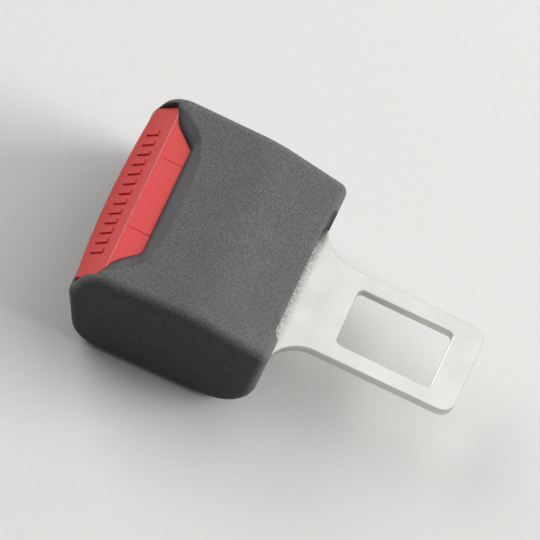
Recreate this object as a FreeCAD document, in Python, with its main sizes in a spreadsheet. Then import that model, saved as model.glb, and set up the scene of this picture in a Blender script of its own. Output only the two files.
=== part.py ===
import FreeCAD, Part
import math
import os
import Sketcher
from FreeCAD import Placement, Rotation, Vector

# Seat belt extender: a buckle on one end, a steel tongue on the other.
# +X runs from the red release button to the tip of the tongue, +Z is up.
# The origin is the middle of the flat face that the housing rests on.
# Lengths are in millimetres and angles in degrees.

os.makedirs("parts", exist_ok=True)
doc = FreeCAD.newDocument("SeatBeltExtender")

# Driving dimensions
drivingSizes = {
    # housing, outside
    "housingLength": 43.4,
    "housingHeight": 26.55,
    "housingFrontWidth": 50.0,
    "housingRearWidth": 47.4,
    "rearFall": 3.55,
    "creaseFromRear": 16.9,
    "shoulderFromNose": 2.5,
    "shoulderFall": 1.25,
    "noseAboveTongue": 1.1,
    "chinSet": 4.7,
    "creaseRadius": 30.0,
    "shoulderRadius": 6.5,
    "noseRadius": 3.0,
    "chinRadius": 7.0,
    "heelRadius": 9.5,
    "rimRadius": 2.2,
    "recessDepth": 1.35,
    "recessWidth": 30.5,
    "recessRadius": 1.6,
    # housing, inside
    "wall": 2.0,
    "crownWall": 2.0,
    "roofWall": 1.8,
    "rearWall": 2.3,
    "ceilingRun": 1.7,
    "sillAboveTongue": 2.3,
    "mouthWidth": 26.0,
    "mouthClearance": 0.4,
    "mouthWall": 2.7,
    "blockDepth": 4.5,
    "ribThick": 1.5,
    "ribSpread": 22.0,
    # opening in the roof for the button
    "notchFromNose": 10.55,
    "notchBackInset": 9.05,
    "notchShoulderFromNose": 6.2,
    "notchShoulderInset": 4.9,
    "notchMouthFromNose": 4.35,
    "notchMouthInset": 0.9,
    "notchBackRadius": 1.6,
    "notchShoulderRadius": 7.0,
    "lipSlope": 66.0,
    # release button
    "cheekWall": 2.3,
    "headRoom": 1.85,
    "facePoke": 0.7,
    "faceBand": 0.9,
    "faceBow": 1.1,
    "faceEdgeRadius": 1.2,
    "ridgeFromNose": 5.15,
    "ridgeRadius": 0.7,
    "buttonPlateRun": 7.85,
    "buttonWall": 1.5,
    "buttonTravel": 5.0,
    "buttonGap": 0.4,
    "armWidth": 2.3,
    "webSet": 0.8,
    "postSet": 0.5,
    "postRun": 3.0,
    "gripCount": 13,
    "gripPitch": 2.6,
    "gripWidth": 1.1,
    "gripLength": 3.4,
    "gripHeight": 0.35,
    "gripFromFoot": 2.5,
    "seamSpread": 18.0,
    "seamWidth": 0.3,
    "seamDepth": 0.12,
    # tongue
    "tongueWidth": 22.0,
    "tongueThick": 2.2,
    "tongueReach": 38.55,
    "tongueTipRadius": 3.1,
    "tongueEdgeRadius": 0.3,
    "neckFromTip": 30.8,
    "flareRadius": 8.2,
    "rootWidth": 33.0,
    "rootPastSlot": 0.8,
    "windowFromTip": 6.2,
    "windowLength": 21.5,
    "windowWidth": 14.15,
    "windowRadius": 1.2,
    # steel frame
    "frameSteel": 1.8,
    "frameAbovePivot": 2.9,
    "frameReach": 22.0,
    "frameWallSet": 1.8,
    "frameWallPastPivot": 3.3,
    "bendRadius": 2.2,
    "rivetFromFrameRear": 3.4,
    "rivetSpread": 18.0,
    "rivetRadius": 2.0,
    "rivetHeadRadius": 3.2,
    "rivetHeadHeight": 1.5,
    "rivetHeadRound": 0.9,
    # latch and its pivot
    "pivotFromFrameRear": 10.5,
    "pinRadius": 1.5,
    "pinHeadRadius": 2.0,
    "pinHeadLength": 1.0,
    "pinTailLength": 1.3,
    "clipThick": 0.45,
    "clipRadius": 2.1,
    "clipGrooveDepth": 0.3,
    "knuckleRadius": 2.8,
    "latchThick": 2.0,
    "latchAbovePivot": 0.6,
    "latchWidth": 25.6,
    "latchSideGap": 0.4,
    "latchReach": 18.0,
    "latchAngle": 13.1,
    "toothWidth": 11.0,
    "toothThick": 2.0,
    "toothDip": 1.0,
    "toothLead": 1.4,
    "earRadius": 0.95,
    "earArm": 12.0,
    "earReach": 2.2,
    "earNotchGap": 0.6,
    "toothGap": 0.8,
    "rampOverrun": 0.5,
    "latchLift": 2.1,
    # ejector
    "ejectorFromPivot": 14.5,
    "ejectorLength": 5.0,
    "ejectorWidth": 20.0,
    "keelWidth": 4.0,
    # springs
    "buttonSpringRadius": 1.05,
    "buttonSpringWire": 0.25,
    "buttonSpringTurns": 9,
    "buttonSpringLength": 11.7,
    "ejectorSpringRadius": 1.6,
    "ejectorSpringWire": 0.3,
    "ejectorSpringTurns": 8,
    "latchSpringRadius": 2.2,
    "latchSpringWire": 0.3,
    "latchSpringTurns": 5,
    "latchSpringFromPivot": 8.5,
    # plastic guide behind the mouth
    "guideWall": 2.0,
    "guideAboveTongue": 1.8,
    # screws that hold the two covers
    "screwFrontFromPivot": 8.0,
    "screwRearFromRear": 8.2,
    "screwRadius": 1.1,
    "screwTaper": 0.55,
    "screwHeadRadius": 1.8,
    "screwHeadHeight": 1.6,
    "screwLength": 13.0,
    "screwRecess": 5.0,
    "driveRadius": 0.75,
    "driveDepth": 0.9,
    "bossRadius": 2.0,
    "bossFootRadius": 3.1,
    "bossFootHeight": 7.0,
    "bossRoot": 1.3,
    # clearances between pieces
    "slideGap": 0.1,
    "runGap": 0.2,
    "pinGap": 0.05,
    "camGap": 0.15,
    "sideGap": 0.3,
    "bossGap": 0.4,
}
sheet = doc.addObject("Spreadsheet::Sheet", "dim")
for row, (name, value) in enumerate(drivingSizes.items(), start=1):
    sheet.set(f"A{row}", name)
    sheet.set(f"B{row}", str(value))
    sheet.setAlias(f"B{row}", name)
doc.recompute()

# Places worked out from the driving dimensions
layout = doc.addObject("App::FeaturePython", "lay")
derivedPlaces = {
    # along the part
    "rear": "dim.housingLength / 2",
    "nose": "-dim.housingLength / 2",
    "rearInside": "lay.rear - dim.rearWall",
    "recessX": "lay.rear - dim.recessDepth",
    "creaseX": "lay.rear - dim.creaseFromRear",
    "kinkX": "lay.creaseX + dim.ceilingRun",
    "shoulderX": "lay.nose + dim.shoulderFromNose",
    "blockBack": "lay.nose + dim.blockDepth",
    "ribFront": "lay.nose + dim.chinSet + dim.wall",
    "frameRear": "lay.rearInside - dim.slideGap",
    "rivetX": "lay.frameRear - dim.rivetFromFrameRear",
    "pivotX": "lay.frameRear - dim.pivotFromFrameRear",
    "frameFront": "lay.pivotX - dim.frameReach",
    "frameWallFront": "lay.frameFront + dim.frameWallSet",
    "frameWallRear": "lay.pivotX + dim.frameWallPastPivot",
    "guideFront": "lay.nose + dim.mouthWall + dim.slideGap",
    "guideBack": "lay.frameFront - dim.slideGap",
    "latchFront": "lay.pivotX - dim.latchReach",
    "latchSpringX": "lay.pivotX - dim.latchSpringFromPivot",
    "slotBack": "lay.pivotX + dim.knuckleRadius + dim.runGap",
    "rootX": "lay.slotBack + dim.rootPastSlot",
    "tipX": "lay.rear + dim.tongueReach",
    "neckX": "lay.tipX - dim.neckFromTip",
    "flareX": "lay.neckX - sqrt(dim.flareRadius ^ 2"
              " - (dim.flareRadius - (dim.rootWidth - dim.tongueWidth) / 2) ^ 2)",
    "ejectorFront": "lay.pivotX - dim.ejectorFromPivot",
    "ejectorBack": "lay.ejectorFront + dim.ejectorLength",
    "screwFrontX": "lay.pivotX - dim.screwFrontFromPivot",
    "screwRearX": "lay.rear - dim.screwRearFromRear",
    # across the part
    "latchHalf": "dim.latchWidth / 2",
    "frameHalf": "lay.latchHalf + dim.latchSideGap + dim.frameSteel",
    "pocketHalf": "lay.frameHalf + dim.slideGap",
    "slotHalf": "dim.rootWidth / 2 + dim.slideGap",
    "armInside": "lay.frameHalf + dim.sideGap",
    "screwHalf": "lay.armInside + dim.armWidth + dim.bossGap + dim.bossRadius",
    "frontHalf": "dim.housingFrontWidth / 2",
    "rearHalf": "dim.housingRearWidth / 2",
    "insideHalf": "lay.rearHalf - dim.wall",
    "bayHalf": "lay.frontHalf - dim.cheekWall",
    "buttonHalf": "lay.bayHalf - dim.buttonGap",
    # heights: the mechanism hangs from the ceiling, and the tongue from the mechanism
    "rearTop": "dim.housingHeight - dim.rearFall",
    "shoulderZ": "dim.housingHeight - dim.shoulderFall",
    "ceiling": "dim.housingHeight - dim.crownWall",
    "ceilingFall": "(lay.ceiling - lay.rearTop + dim.roofWall) / (lay.rearInside - lay.kinkX)",
    "inRoof": "lay.ceiling + dim.roofWall / 2",
    "buttonTop": "lay.ceiling - dim.runGap",
    "postTop": "lay.buttonTop - dim.headRoom",
    "buttonSpringCoil": "dim.buttonSpringRadius + dim.buttonSpringWire",
    "buttonSpringZ": "lay.postTop - dim.slideGap - lay.buttonSpringCoil",
    "pivotZ": "lay.buttonSpringZ - lay.buttonSpringCoil - dim.slideGap - dim.clipRadius",
    "frameTop": "lay.pivotZ + dim.frameAbovePivot",
    "latchTop": "lay.pivotZ + dim.latchAbovePivot",
    "latchFoot": "lay.latchTop - dim.latchThick",
    "latchTopLifted": "lay.latchTop + dim.latchLift",
    "tongueTop": "lay.pivotZ - dim.knuckleRadius - dim.runGap",
    "tongueFoot": "lay.tongueTop - dim.tongueThick",
    "parting": "lay.tongueTop - dim.tongueThick / 2",
    "frameFoot": "lay.tongueFoot - dim.frameSteel",
    "mouthFloor": "lay.tongueFoot - dim.mouthClearance",
    "sill": "lay.tongueTop + dim.sillAboveTongue",
    "guideTop": "lay.tongueTop + dim.guideAboveTongue",
    "noseZ": "lay.tongueTop + dim.noseAboveTongue",
    "toothFoot": "lay.tongueFoot - dim.toothDip",
    "ejectorTop": "lay.latchFoot - dim.sideGap",
    "ejectorSpringZ": "lay.tongueFoot - dim.runGap",
    "buttonFoot": "lay.sill + dim.slideGap",
    "armFoot": "lay.parting - dim.slideGap",
    "railTop": "lay.armFoot - dim.runGap",
    "screwTip": "dim.screwRecess + dim.screwLength",
    # the button's sloping face
    "faceFootX": "lay.nose - dim.facePoke",
    "faceFootZ": "lay.buttonFoot + dim.faceBand",
    "ridgeX": "lay.nose + dim.ridgeFromNose",
    "plateBack": "lay.ridgeX + dim.buttonPlateRun",
    "bayBack": "lay.plateBack + dim.buttonTravel + dim.sideGap",
    "faceRun": "lay.ridgeX - lay.faceFootX",
    "faceRise": "lay.buttonTop - lay.faceFootZ",
    "faceLength": "sqrt(lay.faceRun ^ 2 + lay.faceRise ^ 2)",
    "ridgeWallRun": "dim.buttonWall * (lay.faceLength - lay.faceRun) / lay.faceRise",
    "faceEndX": "lay.faceFootX + dim.faceBow",
    "faceWallX": "lay.faceEndX + dim.buttonWall",
    "faceWallZ": "lay.buttonTop - dim.buttonWall"
                 " - (lay.ridgeX + lay.ridgeWallRun - lay.faceWallX) * lay.faceRise / lay.faceRun",
    "faceBowRadius": "(lay.buttonHalf ^ 2 + dim.faceBow ^ 2) / (2 * dim.faceBow)",
    # the button's arms, ramps and spring posts
    "earX": "lay.pivotX - dim.earArm",
    "earZ": "lay.latchTop - dim.latchThick / 2",
    "rampSlope": "dim.earArm * dim.latchAngle * pi / 180 / dim.buttonTravel",
    "rampZ": "lay.earZ - (dim.earRadius + dim.camGap) * sqrt(1 + lay.rampSlope ^ 2)",
    "armFront": "lay.blockBack + dim.slideGap",
    "webX": "lay.latchFront - dim.webSet",
    "rampFoot": "lay.rampZ - lay.rampSlope * dim.rampOverrun",
    "rampHead": "lay.rampZ + lay.rampSlope * (lay.earX - lay.webX - dim.rampOverrun)",
    "postFront": "lay.earX + dim.earRadius + dim.sideGap + dim.postSet",
    "postBack": "lay.postFront + dim.postRun",
    "springWallX": "lay.postBack + dim.buttonSpringLength",
    "buttonSpringY": "lay.armInside + dim.armWidth / 2",
    "latchSpringInside": "dim.latchSpringRadius - dim.latchSpringWire - dim.runGap",
    # the opening's edge: its corners, the directions of its runs, and where their arcs start
    "notchBackX": "lay.nose + dim.notchFromNose",
    "notchBackY": "lay.bayHalf - dim.notchBackInset",
    "notchShoulderX": "lay.nose + dim.notchShoulderFromNose",
    "notchShoulderY": "lay.bayHalf - dim.notchShoulderInset",
    "notchMouthX": "lay.nose + dim.notchMouthFromNose",
    "notchMouthY": "lay.bayHalf - dim.notchMouthInset",
    "flankRun": "lay.notchShoulderX - lay.notchBackX",
    "flankRise": "lay.notchShoulderY - lay.notchBackY",
    "flankLength": "sqrt(lay.flankRun ^ 2 + lay.flankRise ^ 2)",
    "flankX": "lay.flankRun / lay.flankLength",
    "flankY": "lay.flankRise / lay.flankLength",
    "cheekRun": "lay.notchMouthX - lay.notchShoulderX",
    "cheekRise": "lay.notchMouthY - lay.notchShoulderY",
    "cheekLength": "sqrt(lay.cheekRun ^ 2 + lay.cheekRise ^ 2)",
    "cheekX": "lay.cheekRun / lay.cheekLength",
    "cheekY": "lay.cheekRise / lay.cheekLength",
    "backTurn": "sqrt((1 - lay.flankY) / (1 + lay.flankY)) * dim.notchBackRadius",
    "bendCosine": "lay.flankX * lay.cheekX + lay.flankY * lay.cheekY",
    "bendTurn": "sqrt((1 - lay.bendCosine) / (1 + lay.bendCosine)) * dim.notchShoulderRadius",
    # the recess in the rear wall, over the tongue
    "recessHalf": "dim.recessWidth / 2",
    "recessMouthHalf": "lay.recessHalf"
                       " + sqrt(dim.recessRadius ^ 2 - (dim.recessRadius - dim.recessDepth) ^ 2)",
}
for name, formula in derivedPlaces.items():
    layout.addProperty("App::PropertyFloat", name)
    layout.setExpression(name, formula)
    doc.recompute()


def evaluate(expression):
    return float(sheet.evalExpression(str(expression)))


def makeBody(label):
    body = doc.addObject("PartDesign::Body", label)
    body.Label = label
    return body


def originPart(body, role):
    return [part for part in body.Origin.OriginFeatures if part.Role == role][0]


def addSketch(body, role, offset="0"):
    sketch = body.newObject("Sketcher::SketchObject", "Sketch")
    sketch.AttachmentSupport = [(originPart(body, role), "")]
    sketch.MapMode = "FlatFace"
    sketch.setExpression("AttachmentOffset.Base.z", offset)
    return sketch


def bindConstraint(sketch, kind, geometry, point, expression):
    value = evaluate(expression)
    if point is None:
        index = sketch.addConstraint(Sketcher.Constraint(kind, geometry, value))
    else:
        index = sketch.addConstraint(Sketcher.Constraint(kind, -1, 1, geometry, point, value))
    sketch.setExpression(f"Constraints[{index}]", str(expression))


def addOutline(sketch, corners):
    # A closed outline. A corner is (u, v), or (u, v, radius) where an arc leads on to the next
    # corner: a positive radius bulges to the right of the way round, a negative one to the left.
    points = [Vector(evaluate(corner[0]), evaluate(corner[1]), 0) for corner in corners]
    first = sketch.GeometryCount
    startOf = []
    for index, corner in enumerate(corners):
        start = points[index]
        end = points[(index + 1) % len(points)]
        if len(corner) == 2:
            sketch.addGeometry(Part.LineSegment(start, end))
            startOf.append(1)
        else:
            sketch.addGeometry(arcBetween(start, end, evaluate(corner[2])))
            startOf.append(1 if evaluate(corner[2]) > 0 else 2)
    for index, corner in enumerate(corners):
        after = (index + 1) % len(corners)
        here = first + index
        sketch.addConstraint(Sketcher.Constraint(
            "Coincident", here, 3 - startOf[index], first + after, startOf[after]))
        bindConstraint(sketch, "DistanceX", here, startOf[index], corner[0])
        bindConstraint(sketch, "DistanceY", here, startOf[index], corner[1])
        if len(corner) == 3:
            bindConstraint(sketch, "Radius", here, None, f"abs({corner[2]})")


def arcBetween(start, end, radius):
    # an arc is drawn anticlockwise, so a left bulge is drawn from its far end
    if radius < 0:
        start, end = end, start
    chord = end - start
    left = Vector(-chord.y, chord.x, 0).normalize()
    centre = (start + end) * 0.5 + left * math.sqrt(radius ** 2 - chord.Length ** 2 / 4)
    angles = [math.atan2(point.y - centre.y, point.x - centre.x) for point in (start, end)]
    if angles[1] < angles[0]:
        angles[1] += 2 * math.pi
    return Part.ArcOfCircle(Part.Circle(centre, Vector(0, 0, 1), abs(radius)), *angles)


def addCircle(sketch, u, v, radius):
    centre = Vector(evaluate(u), evaluate(v), 0)
    index = sketch.addGeometry(Part.Circle(centre, Vector(0, 0, 1), evaluate(radius)))
    bindConstraint(sketch, "DistanceX", index, 3, u)
    bindConstraint(sketch, "DistanceY", index, 3, v)
    bindConstraint(sketch, "Radius", index, None, radius)


def addBox(sketch, left, right, low, high):
    addOutline(sketch, [(left, low), (right, low), (right, high), (left, high)])


def extrude(body, kind, sketch, length, side="One side", backwards=False):
    feature = body.newObject(f"PartDesign::{kind}", kind)
    feature.Profile = sketch
    feature.SideType = side
    feature.Reversed = backwards
    feature.setExpression("Length", length)
    doc.recompute()
    return feature


def pad(body, sketch, length, side="One side", backwards=False):
    before = body.Tip.Shape.Volume if body.Tip and not body.Tip.Shape.isNull() else 0.0
    feature = extrude(body, "Pad", sketch, length, side, backwards)
    if feature.Shape.Volume <= before:
        raise ValueError(f"{body.Label}: a pad added nothing")
    return feature


def cut(body, sketch, length, side="One side", backwards=False):
    before = body.Tip.Shape.Volume
    feature = extrude(body, "Pocket", sketch, length, side, backwards)
    if feature.Shape.Volume >= before:
        raise ValueError(f"{body.Label}: a pocket removed nothing")
    return feature


def edgeNames(shape, chosen):
    return [f"Edge{index}" for index, edge in enumerate(shape.Edges, start=1) if chosen(edge)]


def blend(body, kind, size, chosen):
    base = body.Tip
    names = edgeNames(base.Shape, chosen)
    if not names:
        raise ValueError(f"{body.Label}: no edge to round")
    feature = body.newObject(f"PartDesign::{kind}", kind)
    feature.Base = (base, names)
    feature.setExpression("Radius" if kind == "Fillet" else "Size", size)
    doc.recompute()
    return feature


def mirrorAcross(body, features):
    mirrored = body.newObject("PartDesign::Mirrored", "Mirrored")
    mirrored.Originals = features
    mirrored.MirrorPlane = (originPart(body, "XZ_Plane"), [""])
    body.Tip = mirrored
    doc.recompute()
    return mirrored


def near(value, target, tolerance=0.05):
    return abs(value - target) < tolerance


def alongY(edge, x, z):
    # a straight edge that runs across the part through (x, z)
    ends = [vertex.Point for vertex in edge.Vertexes]
    return all(near(end.x, x) and near(end.z, z) for end in ends) and len(ends) == 2


def midPoint(edge):
    return edge.valueAt((edge.FirstParameter + edge.LastParameter) / 2)


def makeHousingBlank(label):
    # The whole outside of the housing, before it is split and hollowed
    body = makeBody(label)
    side = addSketch(body, "XZ_Plane")
    profile = [
        ("lay.nose + dim.chinSet", "0"),
        ("lay.rear", "0"),
        ("lay.rear", "lay.rearTop"),
        ("lay.creaseX", "dim.housingHeight"),
        ("lay.shoulderX", "lay.shoulderZ"),
        ("lay.nose", "lay.noseZ"),
    ]
    addOutline(side, profile)
    pad(body, side, "2 * lay.frontHalf + 2 * dim.wall", side="Symmetric")
    plan = addSketch(body, "XY_Plane", "-dim.wall")
    farOut = "2 * lay.frontHalf"
    for sign in ("", "-"):
        addOutline(plan, [
            ("lay.nose", f"{sign}(lay.frontHalf)"),
            ("lay.rear", f"{sign}(lay.rearHalf)"),
            ("lay.rear + dim.wall", f"{sign}(lay.rearHalf)"),
            ("lay.rear + dim.wall", f"{sign}({farOut})"),
            ("lay.nose - dim.wall", f"{sign}({farOut})"),
            ("lay.nose - dim.wall", f"{sign}(lay.frontHalf)"),
        ])
    cut(body, plan, "dim.housingHeight + 2 * dim.wall", backwards=True)
    radii = ("dim.chinRadius", "dim.heelRadius", None,
             "dim.creaseRadius", "dim.shoulderRadius", "dim.noseRadius")
    for (x, z), radius in zip(profile, radii):
        if radius:
            blend(body, "Fillet", radius, lambda edge: alongY(edge, evaluate(x), evaluate(z)))
    taper = evaluate("(lay.frontHalf - lay.rearHalf) / dim.housingLength")
    frontHalf = evaluate("lay.frontHalf")

    def onRim(edge):
        ends = [vertex.Point for vertex in edge.Vertexes] + [midPoint(edge)]
        return all(near(abs(end.y), frontHalf - taper * (end.x - layout.nose)) for end in ends)

    def rearTop(edge):
        return alongY(edge, layout.rear, layout.rearTop)

    blend(body, "Fillet", "dim.rimRadius", lambda edge: onRim(edge) or rearTop(edge))
    return body


def sideSpan(sign, inside, outside):
    # where a block on one side of the part starts and ends, the lower place first
    return sorted([f"{sign}({inside})", f"{sign}({outside})"], key=evaluate)


def boxPad(body, left, right, nearSide, farSide, low, high, cutting=False):
    # An upright block or recess between two heights, by its plan
    sketch = addSketch(body, "XY_Plane", low)
    addBox(sketch, left, right, nearSide, farSide)
    work = cut if cutting else pad
    return work(body, sketch, f"({high}) - ({low})", backwards=cutting)


def cylinderPad(body, x, y, low, high, radius, cutting=False):
    sketch = addSketch(body, "XY_Plane", low)
    addCircle(sketch, x, y, radius)
    work = cut if cutting else pad
    return work(body, sketch, f"({high}) - ({low})", backwards=cutting)


screwPlaces = {
    "cover_screw_front_left": ("lay.screwFrontX", "lay.screwHalf"),
    "cover_screw_front_right": ("lay.screwFrontX", "-lay.screwHalf"),
    "cover_screw_rear_left": ("lay.screwRearX", "lay.screwHalf"),
    "cover_screw_rear_right": ("lay.screwRearX", "-lay.screwHalf"),
}


def notchCorners():
    # The edge of the roof round the button, with a rounded back corner and shoulder on each side,
    # widening to the two cheeks at the nose
    farSide = [
        ("lay.notchBackX", "lay.notchBackY - lay.backTurn", "dim.notchBackRadius"),
        ("lay.notchBackX + lay.backTurn * lay.flankX", "lay.notchBackY + lay.backTurn * lay.flankY"),
        ("lay.notchShoulderX - lay.bendTurn * lay.flankX",
         "lay.notchShoulderY - lay.bendTurn * lay.flankY", "-dim.notchShoulderRadius"),
        ("lay.notchShoulderX + lay.bendTurn * lay.cheekX",
         "lay.notchShoulderY + lay.bendTurn * lay.cheekY"),
        ("lay.notchMouthX", "lay.notchMouthY"),
        ("lay.notchMouthX - dim.notchMouthInset", "lay.bayHalf"),
        ("lay.nose - dim.wall", "lay.bayHalf"),
    ]
    nearSide = [(corner[0], f"-({corner[1]})") for corner in reversed(farSide)]
    # the way back meets each arc at its other end
    nearSide[3] += ("-dim.notchShoulderRadius",)
    nearSide[5] += ("dim.notchBackRadius",)
    return farSide + nearSide


def roofOver(x):
    # a height inside the roof's wall, at a place along the housing
    return f"lay.inRoof - max(({x}) - lay.kinkX; 0) * lay.ceilingFall"


def makeUpperCover():
    body = makeHousingBlank("upper_cover")
    below = addSketch(body, "XY_Plane", "lay.parting")
    addBox(below, "lay.nose - dim.wall", "lay.rear + dim.wall",
           "-2 * lay.frontHalf", "2 * lay.frontHalf")
    cut(body, below, "dim.housingHeight")
    # the main hollow, under a ceiling that slopes down to the rear
    hollow = addSketch(body, "XZ_Plane")
    addOutline(hollow, [
        ("lay.blockBack", "lay.parting - dim.wall"),
        ("lay.rearInside", "lay.parting - dim.wall"),
        ("lay.rearInside", "lay.rearTop - dim.roofWall"),
        ("lay.kinkX", "lay.ceiling"),
        ("lay.blockBack", "lay.ceiling"),
    ])
    cut(body, hollow, "2 * lay.insideHalf", side="Symmetric")
    # the wider bay that the button slides in
    bay = addSketch(body, "XZ_Plane")
    addBox(bay, "lay.blockBack", "lay.bayBack", "lay.parting - dim.wall", "lay.ceiling")
    cut(body, bay, "2 * lay.bayHalf", side="Symmetric")
    boxPad(body, "lay.nose - dim.wall", "lay.blockBack + dim.wall", "-lay.bayHalf", "lay.bayHalf",
           "lay.sill", "lay.ceiling", cutting=True)
    # bosses for the four screws, and the stops that hang from the ceiling
    for x, y in screwPlaces.values():
        cylinderPad(body, x, y, "lay.parting", roofOver(x), "dim.bossRadius")
    for sign in ("", "-"):
        inner, outer = sideSpan(sign, "lay.armInside - dim.slideGap", "lay.armInside + dim.armWidth")
        boxPad(body, "lay.springWallX", "lay.springWallX + dim.ribThick", inner, outer,
               "lay.buttonSpringZ - lay.buttonSpringCoil - dim.slideGap", roofOver("lay.springWallX"))
        inner, outer = sideSpan(sign, "lay.frameHalf - dim.frameSteel", "lay.frameHalf")
        boxPad(body, "lay.creaseX - dim.ribThick", "lay.creaseX", inner, outer,
               "lay.frameTop", "lay.inRoof")
    cylinderPad(body, "lay.latchSpringX", "0",
                "lay.latchTopLifted + dim.sideGap", "lay.inRoof", "lay.latchSpringInside")
    for x, y in screwPlaces.values():
        cylinderPad(body, x, y, "lay.parting - dim.wall", "lay.screwTip + dim.sideGap",
                    "dim.screwRadius + dim.pinGap", cutting=True)
    # the opening in the roof and nose, above the sill
    opening = addSketch(body, "XY_Plane", "lay.sill")
    addOutline(opening, notchCorners())
    cut(body, opening, "dim.housingHeight", backwards=True)
    # its lip slopes up and out from the ceiling
    lip = addSketch(body, "XY_Plane", "lay.ceiling")
    addOutline(lip, notchCorners())
    slope = extrude(body, "Pocket", lip, "dim.housingHeight - lay.ceiling + dim.wall", backwards=True)
    slope.setExpression("TaperAngle", "dim.lipSlope")
    # the mouth, the seat of the guide behind it, and the slot for the tongue
    boxPad(body, "lay.nose - dim.wall", "lay.blockBack + dim.wall", "-dim.mouthWidth / 2",
           "dim.mouthWidth / 2", "lay.mouthFloor", "lay.sill + dim.wall", cutting=True)
    boxPad(body, "lay.nose + dim.mouthWall", "lay.blockBack + dim.wall", "-lay.pocketHalf",
           "lay.pocketHalf", "lay.mouthFloor", "lay.sill + dim.wall", cutting=True)
    boxPad(body, "lay.rearInside - dim.wall", "lay.rear + dim.wall", "-lay.slotHalf",
           "lay.slotHalf", "lay.parting - dim.wall", "lay.tongueTop + dim.slideGap", cutting=True)
    # the shallow recess in the rear wall over the tongue
    recess = addSketch(body, "XY_Plane", "lay.parting - dim.wall")
    addOutline(recess, [
        ("lay.recessX", "lay.recessHalf"),
        ("lay.recessX", "-lay.recessHalf", "dim.recessRadius"),
        ("lay.rear", "-lay.recessMouthHalf"),
        ("lay.rear + dim.wall", "-lay.recessMouthHalf"),
        ("lay.rear + dim.wall", "lay.recessMouthHalf"),
        ("lay.rear", "lay.recessMouthHalf", "dim.recessRadius"),
    ])
    cut(body, recess, "dim.housingHeight", backwards=True)
    return body


def makeLowerCover():
    body = makeHousingBlank("lower_cover")
    above = addSketch(body, "XY_Plane", "lay.parting")
    addBox(above, "lay.nose - dim.wall", "lay.rear + dim.wall",
           "-2 * lay.frontHalf", "2 * lay.frontHalf")
    cut(body, above, "dim.housingHeight", backwards=True)
    hollow = addSketch(body, "XZ_Plane")
    addOutline(hollow, [
        ("lay.nose + dim.chinSet + dim.wall * 2", "dim.wall"),
        ("lay.rear - dim.heelRadius", "dim.wall", "dim.heelRadius - dim.rearWall"),
        ("lay.rearInside", "dim.wall + dim.heelRadius - dim.rearWall"),
        ("lay.rearInside", "lay.parting + dim.wall"),
        ("lay.blockBack", "lay.parting + dim.wall"),
        ("lay.blockBack", "lay.parting"),
    ])
    cut(body, hollow, "2 * lay.insideHalf", side="Symmetric")
    inFloor = "dim.wall / 2"
    for x, y in screwPlaces.values():
        cylinderPad(body, x, y, "dim.bossRoot", "dim.bossFootHeight", "dim.bossFootRadius")
        cylinderPad(body, x, y, "dim.bossRoot", "lay.parting", "dim.bossRadius")
    # ribs under the frame and guide, and rails under the arms of the button
    for sign in ("", "-"):
        inner, outer = sideSpan(sign, "(dim.ribSpread - dim.ribThick) / 2",
                                "(dim.ribSpread + dim.ribThick) / 2")
        boxPad(body, "lay.ribFront", "lay.frameWallRear", inner, outer, inFloor, "lay.frameFoot")
        inner, outer = sideSpan(sign, "lay.buttonSpringY - dim.ribThick / 2",
                                "lay.buttonSpringY + dim.ribThick / 2")
        boxPad(body, "lay.ribFront", "lay.postBack + dim.buttonTravel + dim.sideGap",
               inner, outer, inFloor, "lay.railTop")
    for x, y in screwPlaces.values():
        cylinderPad(body, x, y, "-dim.wall", "dim.screwRecess", "dim.screwHeadRadius + dim.runGap",
                    cutting=True)
        cylinderPad(body, x, y, "-dim.wall", "lay.parting + dim.wall", "dim.screwRadius + dim.slideGap",
                    cutting=True)
    boxPad(body, "lay.nose - dim.wall", "lay.blockBack + dim.wall", "-dim.mouthWidth / 2",
           "dim.mouthWidth / 2", "lay.mouthFloor", "lay.parting + dim.wall", cutting=True)
    boxPad(body, "lay.nose + dim.mouthWall", "lay.blockBack + dim.wall", "-lay.pocketHalf",
           "lay.pocketHalf", "lay.frameFoot", "lay.parting + dim.wall", cutting=True)
    boxPad(body, "lay.rearInside - dim.wall", "lay.rear + dim.wall", "-lay.slotHalf",
           "lay.slotHalf", "lay.tongueFoot - dim.slideGap", "lay.parting + dim.wall", cutting=True)
    return body


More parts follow.
